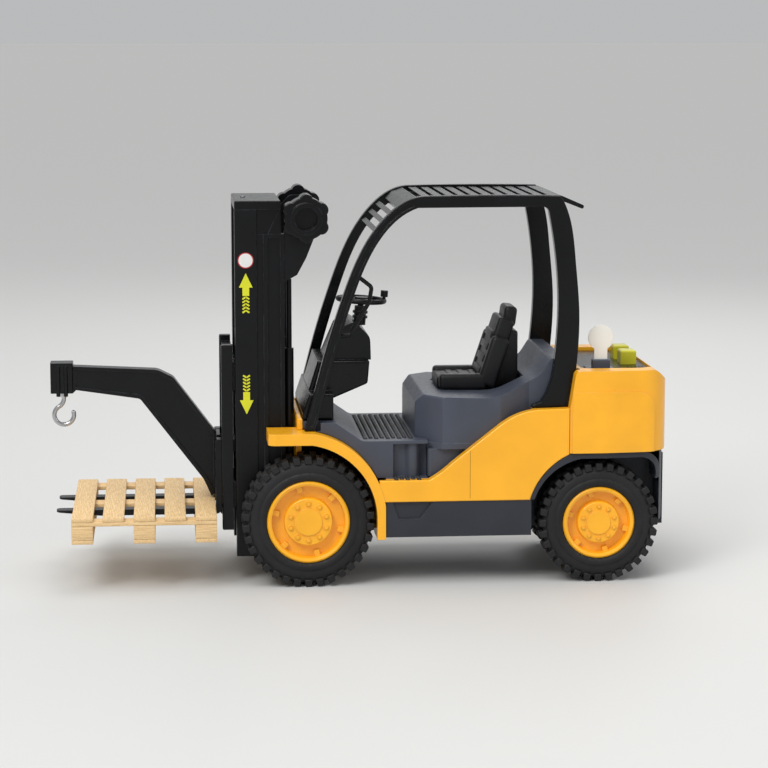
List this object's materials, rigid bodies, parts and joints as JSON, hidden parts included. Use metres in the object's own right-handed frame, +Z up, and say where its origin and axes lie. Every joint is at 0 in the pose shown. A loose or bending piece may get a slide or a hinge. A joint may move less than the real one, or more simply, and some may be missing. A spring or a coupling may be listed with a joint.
{
  "type": "toy forklift",
  "caption": "Toy forklift with rolling wheels, a winch that lifts the fork carriage, a hanging crane arm with a swivel hook, push buttons and a loose pallet.",
  "frame": {"origin": "centre of the footprint of the bounding box, on the floor", "axes": "+X runs from the forks to the counterweight, +Y from the truck's left side to its right side, +Z up"},
  "size_m": [0.316, 0.108, 0.1968],
  "materials": {
    "steel": "plain drawn steel",
    "yellow_plastic": "orange-yellow moulded plastic, semi-gloss",
    "tyre_rubber": "matt black rubber",
    "slate_plastic": "slate grey moulded plastic, fine grain",
    "gloss_black_plastic": "black moulded plastic, glossy",
    "matt_black_plastic": "black moulded plastic, satin",
    "white_film": "thin white plastic film",
    "lime_plastic": "lime yellow moulded plastic",
    "green_board": "green printed circuit board",
    "bright_steel": "plated, softly polished",
    "pallet_wood": "plain light wood, unfinished"
  },
  "bodies": {
    "truck": {"chassis": "slate_plastic", "body_side_left": "yellow_plastic", "body_side_right": "yellow_plastic", "front_cowl": "yellow_plastic", "counterweight": "yellow_plastic", "arch_liner_left": "slate_plastic", "arch_liner_right": "slate_plastic", "cab_floor": "slate_plastic", "seat_hood": "slate_plastic", "control_panel": "gloss_black_plastic", "battery_cover": "slate_plastic", "battery_cells": "steel", "circuit_board": "green_board", "tact_switches": "matt_black_plastic", "speaker": "matt_black_plastic", "guard_left": "gloss_black_plastic", "guard_right": "gloss_black_plastic", "roof_grille": "gloss_black_plastic", "grab_handle": "gloss_black_plastic", "dashboard": "gloss_black_plastic", "steering_column": "matt_black_plastic", "seat_cushion": "matt_black_plastic", "seat_back": "matt_black_plastic", "mast_channel_left": "matt_black_plastic", "mast_channel_right": "matt_black_plastic", "mast_rail_left": "matt_black_plastic", "mast_rail_right": "matt_black_plastic", "mast_crosshead": "gloss_black_plastic", "mast_crossbars": "matt_black_plastic", "lift_cylinders": "matt_black_plastic", "winch_bracket_left": "matt_black_plastic", "winch_bracket_right": "matt_black_plastic", "screws": "steel"},
    "front_wheels": {"front_axle": "steel", "front_rim_left": "yellow_plastic", "front_rim_right": "yellow_plastic", "front_tyre_left": "tyre_rubber", "front_tyre_right": "tyre_rubber"},
    "rear_wheels": {"rear_axle": "steel", "rear_rim_left": "yellow_plastic", "rear_rim_right": "yellow_plastic", "rear_tyre_left": "tyre_rubber", "rear_tyre_right": "tyre_rubber"},
    "carriage": {"carriage_frame": "gloss_black_plastic", "fork_left": "gloss_black_plastic", "fork_right": "gloss_black_plastic"},
    "winch": {"winch_shaft": "matt_black_plastic", "winch_knob_left": "gloss_black_plastic", "winch_knob_right": "gloss_black_plastic"},
    "crane_arm": {"crane_arm": "gloss_black_plastic"},
    "hook": {"hook": "bright_steel"},
    "pallet": {"pallet_slats": "pallet_wood", "pallet_bearers": "pallet_wood", "pallet_blocks": "pallet_wood", "pallet_skids": "pallet_wood"},
    "steering_wheel": {"steering_wheel": "matt_black_plastic"},
    "sound_button": {"sound_button": "lime_plastic"},
    "light_button": {"light_button": "lime_plastic"},
    "pull_tab": {"pull_tab": "white_film"}
  },
  "joints": [
    {"name": "front_axle_spin", "type": "hinge", "parent": "truck", "child": "front_wheels", "pos_m": [-0.029, 0, 0.0332], "axis": [0, 1, 0], "continuous": true},
    {"name": "rear_axle_spin", "type": "hinge", "parent": "truck", "child": "rear_wheels", "pos_m": [0.118, 0, 0.0304], "axis": [0, 1, 0], "continuous": true},
    {"name": "lift", "type": "slide", "parent": "truck", "child": "carriage", "axis": [0, 0, 1], "range_m": [-0.023, 0.066]},
    {"name": "winch_turn", "type": "hinge", "parent": "truck", "child": "winch", "pos_m": [-0.029, 0, 0.1846], "axis": [0, 1, 0], "range_deg": [-364, 1039]},
    {"name": "crane_arm_hang", "type": "slide", "parent": "carriage", "child": "crane_arm", "axis": [0, 0, 1], "range_m": [0, 0.006]},
    {"name": "hook_swivel", "type": "hinge", "parent": "crane_arm", "child": "hook", "pos_m": [-0.1515, 0, 0.0935], "axis": [0, 0, 1], "continuous": true},
    {"name": "pallet_off", "type": "slide", "parent": "carriage", "child": "pallet", "axis": [-1, 0, 0], "range_m": [0, 0.09]},
    {"name": "steer", "type": "hinge", "parent": "truck", "child": "steering_wheel", "pos_m": [0.0015, 0, 0.1395], "axis": [0.0698, 0, 0.9976], "continuous": true},
    {"name": "sound_button_push", "type": "slide", "parent": "truck", "child": "sound_button", "axis": [0, 0, -1], "range_m": [0, 0.0015], "stiffness_N_per_m": 300},
    {"name": "light_button_push", "type": "slide", "parent": "truck", "child": "light_button", "axis": [0, 0, -1], "range_m": [0, 0.0015], "stiffness_N_per_m": 300},
    {"name": "pull_tab_out", "type": "slide", "parent": "truck", "child": "pull_tab", "axis": [0, 0, 1], "range_m": [0, 0.035]}
  ],
  "couplings": [
    {"joint": "winch_turn", "follows": "lift", "rad_per_m": 273.97}
  ]
}
